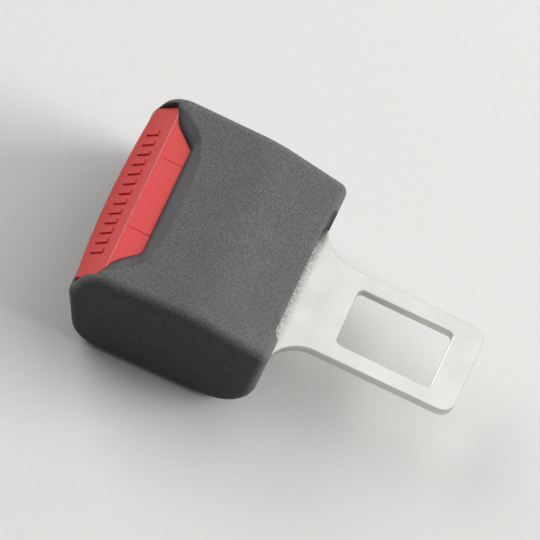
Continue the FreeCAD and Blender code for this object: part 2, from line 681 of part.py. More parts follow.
def makePressButton():
    body = makeBody("press_button")
    outside = addSketch(body, "XZ_Plane")
    addOutline(outside, [
        ("lay.ridgeX - (lay.buttonTop - lay.buttonFoot) * lay.faceRun / lay.faceRise", "lay.buttonFoot"),
        ("lay.plateBack", "lay.buttonFoot"),
        ("lay.plateBack", "lay.buttonTop"),
        ("lay.ridgeX", "lay.buttonTop"),
    ])
    pad(body, outside, "2 * lay.buttonHalf", side="Symmetric")
    # the foot of the face bows forward in plan, under a straight ridge
    bow = addSketch(body, "XY_Plane", "lay.buttonFoot - dim.wall")
    addOutline(bow, [
        ("lay.faceEndX", "-lay.buttonHalf", "-lay.faceBowRadius"),
        ("lay.faceEndX", "lay.buttonHalf"),
        ("lay.faceEndX", "lay.buttonHalf + dim.wall"),
        ("lay.nose - lay.faceRun", "lay.buttonHalf + dim.wall"),
        ("lay.nose - lay.faceRun", "-lay.buttonHalf - dim.wall"),
        ("lay.faceEndX", "-lay.buttonHalf - dim.wall"),
    ])
    cut(body, bow, "lay.buttonTop", backwards=True)
    blend(body, "Fillet", "dim.ridgeRadius",
          lambda edge: alongY(edge, layout.ridgeX, layout.buttonTop))
    faceEdge = Vector(layout.faceFootX, 0, layout.faceFootZ)
    blend(body, "Fillet", "dim.faceEdgeRadius",
          lambda edge: near(midPoint(edge).distanceToPoint(faceEdge), 0))
    # the hollow behind the face and under the top plate, between two end walls
    hollow = addSketch(body, "XZ_Plane")
    addOutline(hollow, [
        ("lay.faceWallX", "lay.buttonFoot - dim.wall"),
        ("lay.plateBack + dim.wall", "lay.buttonFoot - dim.wall"),
        ("lay.plateBack + dim.wall", "lay.buttonTop - dim.buttonWall"),
        ("lay.ridgeX + lay.ridgeWallRun", "lay.buttonTop - dim.buttonWall"),
        ("lay.faceWallX", "lay.faceWallZ"),
    ])
    cut(body, hollow, "2 * lay.buttonHalf - 2 * dim.buttonWall", side="Symmetric")
    # an arm on each side, with the ramp that lifts the latch and the post for the spring
    arm = addSketch(body, "XZ_Plane", "lay.armInside")
    addOutline(arm, [
        ("lay.armFront", "lay.armFoot"),
        ("lay.postBack", "lay.armFoot"),
        ("lay.postBack", "lay.postTop"),
        ("lay.postFront", "lay.postTop"),
        ("lay.postFront", "lay.rampFoot"),
        ("lay.earX + dim.rampOverrun", "lay.rampFoot"),
        ("lay.webX + dim.rampOverrun", "lay.rampHead"),
        ("lay.webX", "lay.rampHead"),
        ("lay.webX", "lay.buttonTop - dim.buttonWall / 2"),
        ("lay.ridgeX + lay.ridgeWallRun", "lay.buttonTop - dim.buttonWall / 2"),
        ("lay.armFront", "lay.buttonTop - 2 * dim.buttonWall"),
    ])
    oneArm = pad(body, arm, "dim.armWidth")
    mirrorAcross(body, [oneArm])
    # two fine seams across the top, and a row of raised grip bars across the face
    for sign in ("", "-"):
        inner, outer = sideSpan(sign, "dim.seamSpread / 2", "dim.seamSpread / 2 + dim.seamWidth")
        boxPad(body, "lay.ridgeX + dim.ridgeRadius", "lay.plateBack + dim.wall", inner, outer,
               "lay.buttonTop - dim.seamDepth", "lay.buttonTop + dim.wall", cutting=True)
    grip = addSketch(body, "XZ_Plane", "(dim.gripCount - 1) / 2 * dim.gripPitch - dim.gripWidth / 2")
    low = "dim.gripFromFoot"
    high = "dim.gripFromFoot + dim.gripLength"
    addOutline(grip, [
        onFace(low, "-dim.gripHeight"),
        onFace(high, "-dim.gripHeight"),
        onFace(f"{high} - dim.gripHeight / 2", "dim.gripHeight"),
        onFace(f"{low} + dim.gripHeight / 2", "dim.gripHeight"),
    ])
    oneGrip = pad(body, grip, "dim.gripWidth")
    row = body.newObject("PartDesign::LinearPattern", "LinearPattern")
    row.Originals = [oneGrip]
    row.Direction = (originPart(body, "Y_Axis"), [""])
    row.Mode = "Spacing"
    row.setExpression("Offset", "dim.gripPitch")
    row.setExpression("Occurrences", "dim.gripCount")
    body.Tip = row
    doc.recompute()
    return body


def onFace(along, out):
    # a point on the sloping face: so far up from its foot, and so far out of it
    return (f"lay.faceFootX + (({along}) * lay.faceRun - ({out}) * lay.faceRise) / lay.faceLength",
            f"lay.faceFootZ + (({along}) * lay.faceRise + ({out}) * lay.faceRun) / lay.faceLength")


def makeTonguePlate():
    body = makeBody("tongue_plate")
    sketch = addSketch(body, "XY_Plane", "lay.tongueFoot")
    narrow = "dim.tongueWidth / 2"
    wide = "dim.rootWidth / 2"
    addOutline(sketch, [
        ("lay.rootX", f"-{wide}"),
        ("lay.flareX", f"-{wide}", "-dim.flareRadius"),
        ("lay.neckX", f"-{narrow}"),
        ("lay.tipX", f"-{narrow}"),
        ("lay.tipX", narrow),
        ("lay.neckX", narrow, "-dim.flareRadius"),
        ("lay.flareX", wide),
        ("lay.rootX", wide),
    ])
    pad(body, sketch, "dim.tongueThick")
    window = addSketch(body, "XY_Plane", "lay.tongueFoot - dim.wall")
    addBox(window, "lay.tipX - dim.windowFromTip - dim.windowLength", "lay.tipX - dim.windowFromTip",
           "-dim.windowWidth / 2", "dim.windowWidth / 2")
    cut(body, window, "dim.tongueThick + 2 * dim.wall", backwards=True)
    blend(body, "Fillet", "dim.tongueTipRadius",
          lambda edge: upright(edge, layout.tipX, evaluate(narrow)))
    windowHalf = evaluate("dim.windowWidth / 2")
    windowEnds = (layout.tipX - sheet.windowFromTip, layout.tipX - sheet.windowFromTip - sheet.windowLength)
    blend(body, "Fillet", "dim.windowRadius",
          lambda edge: any(upright(edge, x, windowHalf) for x in windowEnds))
    for sign in ("", "-"):
        cylinderPad(body, "lay.rivetX", f"{sign}dim.rivetSpread / 2", "lay.tongueFoot - dim.wall",
                    "lay.tongueTop + dim.wall", "dim.rivetRadius + dim.pinGap", cutting=True)
    blend(body, "Fillet", "dim.tongueEdgeRadius", onTongueRim)
    return body


def onTongueRim(edge):
    # the edges of the two faces, out where the tongue can be seen
    box = edge.BoundBox
    flat = near(box.ZMin, box.ZMax)
    atFace = near(box.ZMax, layout.tongueTop) or near(box.ZMax, layout.tongueFoot)
    return flat and atFace and box.XMin > layout.rivetX


def upright(edge, x, halfWidth):
    ends = [vertex.Point for vertex in edge.Vertexes]
    return (len(ends) == 2 and near(ends[0].y, ends[1].y)
            and all(near(end.x, x) and near(abs(end.y), halfWidth) for end in ends))


def makeFrame():
    body = makeBody("buckle_frame")
    boxPad(body, "lay.frameFront", "lay.frameRear", "-lay.frameHalf", "lay.frameHalf",
           "lay.frameFoot", "lay.tongueFoot")
    for sign in ("", "-"):
        inner, outer = sideSpan(sign, "lay.frameHalf - dim.frameSteel", "lay.frameHalf")
        boxPad(body, "lay.frameWallFront", "lay.frameWallRear", inner, outer,
               "lay.frameFoot", "lay.frameTop")
    boxPad(body, "lay.latchFront - dim.toothGap", "lay.latchFront + dim.toothThick + dim.toothGap",
           "-dim.toothWidth / 2 - dim.toothGap", "dim.toothWidth / 2 + dim.toothGap",
           "lay.frameFoot - dim.wall", "lay.tongueFoot + dim.wall", cutting=True)
    boxPad(body, "lay.ejectorFront + dim.sideGap", "lay.slotBack", "-dim.keelWidth / 2 - dim.slideGap",
           "dim.keelWidth / 2 + dim.slideGap", "lay.frameFoot - dim.wall", "lay.tongueFoot + dim.wall",
           cutting=True)
    for sign in ("", "-"):
        cylinderPad(body, "lay.rivetX", f"{sign}dim.rivetSpread / 2", "lay.frameFoot - dim.wall",
                    "lay.tongueFoot + dim.wall", "dim.rivetRadius + dim.pinGap", cutting=True)
    pivot = addSketch(body, "XZ_Plane")
    addCircle(pivot, "lay.pivotX", "lay.pivotZ", "dim.pinRadius + dim.pinGap")
    cut(body, pivot, "2 * lay.frameHalf + 2 * dim.wall", side="Symmetric")
    notch = addSketch(body, "XZ_Plane")
    addBox(notch, "lay.earX - dim.earRadius - dim.earNotchGap",
           "lay.earX + dim.earRadius + dim.earNotchGap",
           "lay.earZ - dim.earRadius - dim.sideGap", "lay.frameTop + dim.wall")
    cut(body, notch, "2 * lay.frameHalf + 2 * dim.wall", side="Symmetric")
    blend(body, "Fillet", "dim.bendRadius", lambda edge: alongX(edge, layout.frameHalf, layout.frameFoot))
    return body


def alongX(edge, halfWidth, z):
    ends = [vertex.Point for vertex in edge.Vertexes]
    return (len(ends) == 2 and near(ends[0].y, ends[1].y)
            and all(near(abs(end.y), halfWidth) and near(end.z, z) for end in ends))


def makeLatchPlate():
    body = makeBody("latch_plate")
    plate = addSketch(body, "XZ_Plane")
    addBox(plate, "lay.latchFront", "lay.pivotX", "lay.latchFoot", "lay.latchTop")
    pad(body, plate, "2 * lay.latchHalf", side="Symmetric")
    knuckle = addSketch(body, "XZ_Plane")
    addCircle(knuckle, "lay.pivotX", "lay.pivotZ", "dim.knuckleRadius")
    pad(body, knuckle, "2 * lay.latchHalf", side="Symmetric")
    tooth = addSketch(body, "XZ_Plane")
    addOutline(tooth, [
        ("lay.latchFront", "lay.latchTop - dim.latchThick / 2"),
        ("lay.latchFront", "lay.toothFoot + dim.toothLead"),
        ("lay.latchFront + dim.toothLead", "lay.toothFoot"),
        ("lay.latchFront + dim.toothThick", "lay.toothFoot"),
        ("lay.latchFront + dim.toothThick", "lay.latchTop - dim.latchThick / 2"),
    ])
    pad(body, tooth, "dim.toothWidth", side="Symmetric")
    ear = addSketch(body, "XZ_Plane", "lay.latchHalf - dim.wall")
    addCircle(ear, "lay.earX", "lay.earZ", "dim.earRadius")
    oneEar = pad(body, ear, "lay.frameHalf + dim.earReach - lay.latchHalf + dim.wall")
    mirrorAcross(body, [oneEar])
    bore = addSketch(body, "XZ_Plane")
    addCircle(bore, "lay.pivotX", "lay.pivotZ", "dim.pinRadius + dim.pinGap")
    cut(body, bore, "2 * lay.latchHalf + 2 * dim.wall", side="Symmetric")
    return body


def makeLatchPin():
    # the head is on one side of the frame and the clip groove on the other
    body = makeBody("latch_pin")
    shaft = addSketch(body, "XZ_Plane", "-lay.frameHalf - dim.pinTailLength")
    addCircle(shaft, "lay.pivotX", "lay.pivotZ", "dim.pinRadius")
    pad(body, shaft, "2 * lay.frameHalf + dim.pinTailLength")
    head = addSketch(body, "XZ_Plane", "lay.frameHalf")
    addCircle(head, "lay.pivotX", "lay.pivotZ", "dim.pinHeadRadius")
    pad(body, head, "dim.pinHeadLength")
    groove = addSketch(body, "XZ_Plane", "-lay.frameHalf - dim.slideGap")
    addCircle(groove, "lay.pivotX", "lay.pivotZ", "dim.pinRadius + dim.wall")
    addCircle(groove, "lay.pivotX", "lay.pivotZ", "dim.pinRadius - dim.clipGrooveDepth")
    cut(body, groove, "dim.clipThick + dim.pinGap")
    return body


def makePinClip():
    body = makeBody("pin_clip")
    ring = addSketch(body, "XZ_Plane", "-lay.frameHalf - dim.slideGap")
    addCircle(ring, "lay.pivotX", "lay.pivotZ", "dim.clipRadius")
    addCircle(ring, "lay.pivotX", "lay.pivotZ", "dim.pinRadius - dim.clipGrooveDepth + dim.pinGap")
    pad(body, ring, "dim.clipThick", backwards=True)
    gap = addSketch(body, "XZ_Plane", "-lay.frameHalf + dim.wall")
    addBox(gap, "lay.pivotX - dim.pinRadius / 2", "lay.pivotX + dim.pinRadius / 2",
           "lay.pivotZ", "lay.pivotZ + dim.clipRadius + dim.wall")
    cut(body, gap, "dim.clipThick + 4 * dim.wall", backwards=False)
    return body


def makeEjector():
    body = makeBody("ejector")
    boxPad(body, "lay.ejectorFront", "lay.ejectorBack", "-dim.ejectorWidth / 2", "dim.ejectorWidth / 2",
           "lay.tongueFoot + dim.slideGap", "lay.ejectorTop")
    boxPad(body, "lay.ejectorFront + dim.sideGap + dim.slideGap", "lay.ejectorBack", "-dim.keelWidth / 2",
           "dim.keelWidth / 2", "lay.frameFoot + dim.runGap", "lay.tongueFoot + dim.slideGap")
    return body


def makeTongueGuide():
    body = makeBody("tongue_guide")
    boxPad(body, "lay.guideFront", "lay.guideBack", "-lay.frameHalf", "lay.frameHalf",
           "lay.frameFoot", "lay.guideTop")
    boxPad(body, "lay.guideFront - dim.wall", "lay.guideBack + dim.wall",
           "-lay.frameHalf + dim.guideWall", "lay.frameHalf - dim.guideWall",
           "lay.tongueFoot", "lay.guideTop + dim.wall", cutting=True)
    return body


def makeCoil(label, axisRole, radius, wire, turns, length, place):
    # An open compression spring along its own Z, then set on its seat by its Placement
    body = makeBody(label)
    section = addSketch(body, "XZ_Plane")
    addCircle(section, radius, wire, wire)
    coil = body.newObject("PartDesign::AdditiveHelix", "Helix")
    coil.Profile = section
    coil.ReferenceAxis = (originPart(body, "Z_Axis"), [""])
    coil.Mode = "height-turns-angle"
    coil.setExpression("Height", f"{length} - 2 * {wire}")
    coil.setExpression("Turns", turns)
    doc.recompute()
    turn = {"Z": Rotation(), "X": Rotation(Vector(0, 1, 0), 90)}[axisRole]
    body.Placement = Placement(Vector(), turn)
    for axis, expression in zip("xyz", place):
        body.setExpression(f"Placement.Base.{axis}", expression)
    doc.recompute()
    return body


def makeSprings():
    for label, sign in (("button_spring_left", ""), ("button_spring_right", "-")):
        makeCoil(label, "X", "dim.buttonSpringRadius", "dim.buttonSpringWire", "dim.buttonSpringTurns",
                 "dim.buttonSpringLength",
                 ("lay.postBack", f"{sign}lay.buttonSpringY", "lay.buttonSpringZ"))
    makeCoil("ejector_spring", "X", "dim.ejectorSpringRadius", "dim.ejectorSpringWire",
             "dim.ejectorSpringTurns", "(lay.slotBack - lay.ejectorBack)",
             ("lay.ejectorBack", "0", "lay.ejectorSpringZ"))
    makeCoil("latch_spring", "Z", "dim.latchSpringRadius", "dim.latchSpringWire", "dim.latchSpringTurns",
             "(lay.ceiling - lay.latchTop)", ("lay.latchSpringX", "0", "lay.latchTop"))


def makeRivets():
    for label, sign in (("frame_rivet_left", ""), ("frame_rivet_right", "-")):
        body = makeBody(label)
        shank = addSketch(body, "XY_Plane", "-dim.frameSteel - dim.tongueThick")
        addCircle(shank, "0", "0", "dim.rivetRadius")
        pad(body, shank, "dim.frameSteel + dim.tongueThick")
        head = addSketch(body, "XY_Plane")
        addCircle(head, "0", "0", "dim.rivetHeadRadius")
        pad(body, head, "dim.rivetHeadHeight")
        foot = addSketch(body, "XY_Plane", "-dim.frameSteel - dim.tongueThick")
        addCircle(foot, "0", "0", "dim.rivetHeadRadius")
        pad(body, foot, "dim.rivetHeadHeight", backwards=True)
        topZ = sheet.rivetHeadHeight
        footZ = -sheet.frameSteel - sheet.tongueThick - sheet.rivetHeadHeight
        blend(body, "Fillet", "dim.rivetHeadRound",
              lambda edge: len(edge.Vertexes) == 1 and near(edge.BoundBox.ZMin, edge.BoundBox.ZMax)
              and (near(edge.BoundBox.ZMax, topZ) or near(edge.BoundBox.ZMax, footZ)))
        placeBody(body, "lay.rivetX", f"{sign}dim.rivetSpread / 2", "lay.tongueTop")


def placeBody(body, x, y, z):
    for axis, expression in zip("xyz", (x, y, z)):
        body.setExpression(f"Placement.Base.{axis}", expression)
    doc.recompute()


def makeScrews():
    # self-tapping screws, driven from below, with the underside of the head at the origin
    for label, (x, y) in screwPlaces.items():
        body = makeBody(label)
        head = addSketch(body, "XY_Plane")
        addCircle(head, "0", "0", "dim.screwHeadRadius")
        pad(body, head, "dim.screwHeadHeight", backwards=True)
        shank = addSketch(body, "XY_Plane")
        addCircle(shank, "0", "0", "dim.screwRadius")
        pad(body, shank, "dim.screwLength")
        drive = addSketch(body, "XY_Plane", "-dim.screwHeadHeight")
        corners = [(f"dim.driveRadius * cos({angle})", f"dim.driveRadius * sin({angle})")
                   for angle in range(0, 360, 60)]
        addOutline(drive, corners)
        cut(body, drive, "dim.driveDepth", backwards=True)
        tipZ = sheet.screwLength
        blend(body, "Chamfer", "dim.screwTaper",
              lambda edge: len(edge.Vertexes) == 1 and near(edge.BoundBox.ZMin, tipZ))
        placeBody(body, x, y, "dim.screwRecess")


makeUpperCover()
makeLowerCover()
makePressButton()
makeTonguePlate()
makeFrame()
makeLatchPlate()
makeLatchPin()
makePinClip()
makeEjector()
makeTongueGuide()
makeSprings()
makeRivets()
makeScrews()

# Every object has to be sound before anything is written
doc.recompute()
for thing in doc.Objects:
    if "Invalid" in thing.State or "Error" in thing.State:
        raise ValueError(f"{thing.Name} failed: {thing.State}")
bodies = [thing for thing in doc.Objects if thing.TypeId == "PartDesign::Body"]
for body in bodies:
    if body.Shape.isNull() or not body.Shape.isValid() or len(body.Shape.Solids) != 1:
        raise ValueError(f"{body.Label} is not one sound solid")
for body in bodies:
    body.Shape.exportStep(f"parts/{body.Label}.step")
    print(body.Label, round(body.Shape.Volume, 1))
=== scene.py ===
import math

import bpy
import numpy as np
from mathutils import Matrix, Vector


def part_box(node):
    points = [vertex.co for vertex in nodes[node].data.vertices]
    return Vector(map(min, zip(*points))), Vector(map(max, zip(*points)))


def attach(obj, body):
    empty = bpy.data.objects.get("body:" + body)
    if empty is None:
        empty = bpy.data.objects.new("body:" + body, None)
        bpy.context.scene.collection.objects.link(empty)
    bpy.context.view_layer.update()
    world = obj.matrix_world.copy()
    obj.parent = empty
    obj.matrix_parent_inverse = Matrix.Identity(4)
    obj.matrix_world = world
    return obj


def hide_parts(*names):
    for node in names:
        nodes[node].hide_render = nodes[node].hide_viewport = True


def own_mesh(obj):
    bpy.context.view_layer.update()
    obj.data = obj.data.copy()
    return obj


# Seat belt extender: black two-part housing with a red release button at one end,
# bright steel tongue at the other. +X runs from the button to the tongue's tip, +Z is up.

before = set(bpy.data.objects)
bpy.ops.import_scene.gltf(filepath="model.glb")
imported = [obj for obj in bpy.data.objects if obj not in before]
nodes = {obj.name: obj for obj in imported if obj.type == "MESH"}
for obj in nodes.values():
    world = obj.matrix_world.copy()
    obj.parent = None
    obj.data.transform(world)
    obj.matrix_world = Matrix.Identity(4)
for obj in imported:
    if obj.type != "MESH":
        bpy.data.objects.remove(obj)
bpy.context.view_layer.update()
mm = 0.001
print("loaded the frame:", len(nodes), "CAD pieces")


def linear(hexColour):
    # sRGB hex to linear RGBA: the low end is a straight line, the rest a power curve
    channels = [int(hexColour[i:i + 2], 16) / 255 for i in (1, 3, 5)]
    return tuple(c / 12.92 if c <= 0.04045 else ((c + 0.055) / 1.055) ** 2.4 for c in channels) + (1.0,)


def addNode(tree, kind, settings=None, links=None):
    # settings go to the node's own properties or, where it has none of that name, to its inputs
    node = tree.nodes.new(kind)
    for name, value in (settings or {}).items():
        if hasattr(node, str(name)):
            setattr(node, name, value)
        else:
            node.inputs[name].default_value = value
    for socket, source in (links or {}).items():
        tree.links.new(source, node.inputs[socket])
    return node


def newMaterial(name, settings):
    # an empty material with its shader and output, and the shader's plain values set
    material = bpy.data.materials.new(name)
    material.use_nodes = True
    tree = material.node_tree
    tree.nodes.clear()
    shader = addNode(tree, "ShaderNodeBsdfPrincipled", settings)
    addNode(tree, "ShaderNodeOutputMaterial", links={"Surface": shader.outputs["BSDF"]})
    return material, tree, shader


def patternPlace(tree):
    # the piece's own place in metres, the start of every pattern
    return addNode(tree, "ShaderNodeTexCoord").outputs["Object"]


def noiseOf(tree, place, grainMm, detail=3.0, roughness=0.5):
    # a cloudy pattern whose blobs are about grainMm across
    noise = addNode(tree, "ShaderNodeTexNoise",
                    {"Scale": 1 / (grainMm * mm), "Detail": detail, "Roughness": roughness},
                    {"Vector": place})
    return noise.outputs["Fac"]


def spread(tree, value, low, high, fromLow=0.3, fromHigh=0.7):
    # stretches a pattern's own range onto the range that the shader needs
    node = addNode(tree, "ShaderNodeMapRange",
                   {"From Min": fromLow, "From Max": fromHigh, "To Min": low, "To Max": high},
                   {"Value": value})
    return node.outputs["Result"]


def fadeMm(tree, value, ends, low=1.0, high=0.0):
    # goes from low to high between two places that are given in mm
    return spread(tree, value, low, high, ends[0] * mm, ends[1] * mm)


def calc(tree, operation, first, second=None):
    # one sum on two values, each a socket or a number
    node = addNode(tree, "ShaderNodeMath", {"operation": operation})
    for index, value in enumerate((first, second)):
        if value is None:
            continue
        if isinstance(value, (int, float)):
            node.inputs[index].default_value = value
        else:
            tree.links.new(value, node.inputs[index])
    return node.outputs["Value"]


def blendOf(tree, value, low, high):
    # a colour between two, by a pattern that runs from 0 to 1
    node = addNode(tree, "ShaderNodeMix", {"data_type": "RGBA"}, {"Factor": value})
    for index, colour in ((6, low), (7, high)):
        if isinstance(colour, str):
            node.inputs[index].default_value = linear(colour)
        else:
            tree.links.new(colour, node.inputs[index])
    return node.outputs[2]


def placeParts(tree, place):
    return addNode(tree, "ShaderNodeSeparateXYZ", links={"Vector": place}).outputs


def bumpOf(tree, height, depthMm, strength=1.0, under=None):
    links = {"Height": height}
    if under is not None:
        links["Normal"] = under
    settings = {"Strength": strength, "Distance": depthMm * mm}
    return addNode(tree, "ShaderNodeBump", settings, links).outputs["Normal"]


def stretchedPlace(tree, place, scale, turn=0.0):
    # the place drawn out along an axis, for lines and scratches
    settings = {"Scale": scale, "Rotation": (0, 0, turn)}
    return addNode(tree, "ShaderNodeMapping", settings, {"Vector": place}).outputs["Vector"]


def edgeWear(tree, reachMm, low, high):
    # 1 along the outside edges, where the rounded normal leaves the flat one, and 0 on the faces
    rounded = addNode(tree, "ShaderNodeBevel", {"samples": 6, "Radius": reachMm * mm}).outputs["Normal"]
    flat = addNode(tree, "ShaderNodeNewGeometry").outputs["Normal"]
    match = addNode(tree, "ShaderNodeVectorMath", {"operation": "DOT_PRODUCT"})
    tree.links.new(rounded, match.inputs[0])
    tree.links.new(flat, match.inputs[1])
    return spread(tree, match.outputs["Value"], 1.0, 0.0, low, high)


housingFinish = {
    "colour": "#767676",         # the plain grey-black of the moulding
    "paleColour": "#868686",     # where dust and handling have dulled it
    "pitShadeColour": "#3a3a3a",      # painted shade down between the pebbles
    "lipColour": "#555657",      # the polished lip round the opening
    "cloudMm": 11.0, "blotchMm": 2.6,
    "pebbleMm": 0.42,            # the pebbles of the grain, drawn as coarse as it takes to show
    "pebbleDepth": 0.12,
    "grainMm": 0.3,              # the sand between them
    "grainDepth": 0.12,
    "roughness": (0.44, 0.58),
    "lipRoughness": 0.42,
    "softEdge": 1.1,             # how far the light runs round the opening's soft edges, in mm
    "softZ": (16.5, 18.5),       # the soft edges start over this height, in mm
    "lipSlope": (0.9, 0.975),    # the lip is steeper than the roof: how far its normal points up
    "lipX": (-9.5, -7.5), "lipZ": (23.8, 24.5), "lipHalfY": (21.2, 22.2),   # where it ends, in mm
}


def blackMouldedAbs():
    # Black ABS, moulded in a spark-eroded tool. The eye sees a soft grey sheen broken up by a
    # fine pebbled grain, with the smooth and darker lip round the button polished in the tool.
    # The hollows of the grain carry painted shade.
    s = housingFinish
    material, tree, shader = newMaterial("black ABS, moulded with a pebbled grain",
                                         {"IOR": 1.5, "Specular IOR Level": 0.2})
    place = patternPlace(tree)
    x, y, z = placeParts(tree, place)
    # the polished lip: the steep band between the opening and the roof, told by its slope
    slope = placeParts(tree, addNode(tree, "ShaderNodeNewGeometry").outputs["Normal"])
    tilt = spread(tree, slope[2], 1.0, 0.0, *s["lipSlope"])
    inFront = fadeMm(tree, x, s["lipX"])
    high = fadeMm(tree, z, s["lipZ"], 0.0, 1.0)
    across = fadeMm(tree, calc(tree, "ABSOLUTE", y), s["lipHalfY"])
    lip = calc(tree, "MULTIPLY", calc(tree, "MULTIPLY", tilt, inFront), calc(tree, "MULTIPLY", high, across))
    clouds = noiseOf(tree, place, s["cloudMm"], 3.0)
    blotches = noiseOf(tree, place, s["blotchMm"], 3.0, 0.6)
    pebbles = addNode(tree, "ShaderNodeTexVoronoi",
                      {"feature": "SMOOTH_F1", "Scale": 1 / (s["pebbleMm"] * mm), "Smoothness": 0.55,
                       "Randomness": 1.0}, {"Vector": place}).outputs["Distance"]
    sand = noiseOf(tree, place, s["grainMm"], 2.0, 0.6)
    worn = calc(tree, "MULTIPLY", spread(tree, clouds, 0.0, 0.7), spread(tree, blotches, 0.3, 1.0))
    # painted shade: darker down between the pebbles and in the low places of the sand
    pitShade = calc(tree, "MAXIMUM", spread(tree, pebbles, 0.0, 0.5, 0.25, 0.75),
                spread(tree, sand, 0.75, 0.0, 0.3, 0.62))
    body = blendOf(tree, pitShade, blendOf(tree, worn, s["colour"], s["paleColour"]), s["pitShadeColour"])
    tree.links.new(blendOf(tree, lip, body, s["lipColour"]), shader.inputs["Base Color"])
    rough = spread(tree, blotches, *s["roughness"])
    lipMix = addNode(tree, "ShaderNodeMix", {"data_type": "FLOAT"}, {"Factor": lip, "A": rough})
    lipMix.inputs["B"].default_value = s["lipRoughness"]
    tree.links.new(lipMix.outputs["Result"], shader.inputs["Roughness"])
    grained = calc(tree, "SUBTRACT", 1.0, calc(tree, "MULTIPLY", lip, 0.85))
    # the light runs round the opening's edges only, so that the parting line lower down stays crisp
    overEdge = fadeMm(tree, z, s["softZ"], 0.0, 1.0)
    soft = addNode(tree, "ShaderNodeMix", {"data_type": "VECTOR"}, {"Factor": overEdge})
    rounded = addNode(tree, "ShaderNodeBevel", {"samples": 8, "Radius": s["softEdge"] * mm})
    tree.links.new(addNode(tree, "ShaderNodeNewGeometry").outputs["Normal"], soft.inputs[4])
    tree.links.new(rounded.outputs["Normal"], soft.inputs[5])
    domes = calc(tree, "SUBTRACT", 1.0, pebbles)
    pebbled = bumpOf(tree, calc(tree, "MULTIPLY", domes, grained), s["pebbleDepth"], 0.7, soft.outputs[1])
    tree.links.new(bumpOf(tree, calc(tree, "MULTIPLY", sand, grained), s["grainDepth"], 0.8, pebbled),
                   shader.inputs["Normal"])
    return material


buttonFinish = {
    "colour": "#ea4a4a",          # painted sheen: the top is a touch paler
    "paintedShadeColour": "#cf0e10",      # painted shade low on the face
    "roughness": (0.2, 0.34),
    "flowMm": 7.0,                # faint flow marks of the moulding
    "flowDepth": 0.012,
    "fineMm": 0.5, "fineDepth": 0.004,
    "paintedShadeZ": (17.0, 23.5),        # painted shade: the face darkens from the top to the foot over these heights, in mm
}


def redMouldedAbs():
    # Red ABS from a polished tool. The eye sees a saturated red under a clear gloss, a touch
    # of light that passes through its thin edges, and faint flow marks across the face. Painted
    # sheen makes the top paler, and painted shade deepens the face towards its foot.
    s = buttonFinish
    material, tree, shader = newMaterial("red ABS, moulded with a polish",
                                         {"IOR": 1.5, "Specular IOR Level": 0.35, "Coat Weight": 0.15,
                                          "Coat Roughness": 0.12, "Subsurface Weight": 0.06,
                                          "Subsurface Scale": 0.0008})
    shader.inputs["Subsurface Radius"].default_value = (1.0, 0.18, 0.12)
    place = patternPlace(tree)
    flow = noiseOf(tree, stretchedPlace(tree, place, (1.0, 0.35, 1.0)), s["flowMm"], 2.0, 0.4)
    fine = noiseOf(tree, place, s["fineMm"], 2.0, 0.5)
    # painted sheen and shade: paler red high up, deeper red low on the face, broken by the flow marks
    height = fadeMm(tree, placeParts(tree, place)[2], s["paintedShadeZ"])
    sheenShadeAndFlow = calc(tree, "MULTIPLY", height, spread(tree, flow, 0.55, 1.0))
    tree.links.new(blendOf(tree, sheenShadeAndFlow, s["colour"], s["paintedShadeColour"]), shader.inputs["Base Color"])
    tree.links.new(spread(tree, calc(tree, "ADD", flow, calc(tree, "MULTIPLY", fine, 0.3)), *s["roughness"],
                          0.4, 0.95), shader.inputs["Roughness"])
    under = bumpOf(tree, flow, s["flowDepth"], 0.5)
    tree.links.new(bumpOf(tree, fine, s["fineDepth"], 0.4, under), shader.inputs["Normal"])
    return material


tongueFinish = {
    "colour": "#d2d0cb",
    "dullColour": "#8f8e8a",
    "scratchColour": "#f1f0ec",
    "roughness": (0.3, 0.42),
    "cloudMm": 8.0, "speckMm": 0.5,
    "scratchMm": 0.16,
    "scratches": ((0.5, 0.05), (-0.9, 0.07), (1.9, 0.06)),   # turn and how drawn out they are
    "rollMm": 0.12,               # the fine lines that rolling leaves along the strip
    "rootX": (20.8, 22.6),        # the band by the housing, painted darker as shade and made rougher as scuffed plating, in mm
}


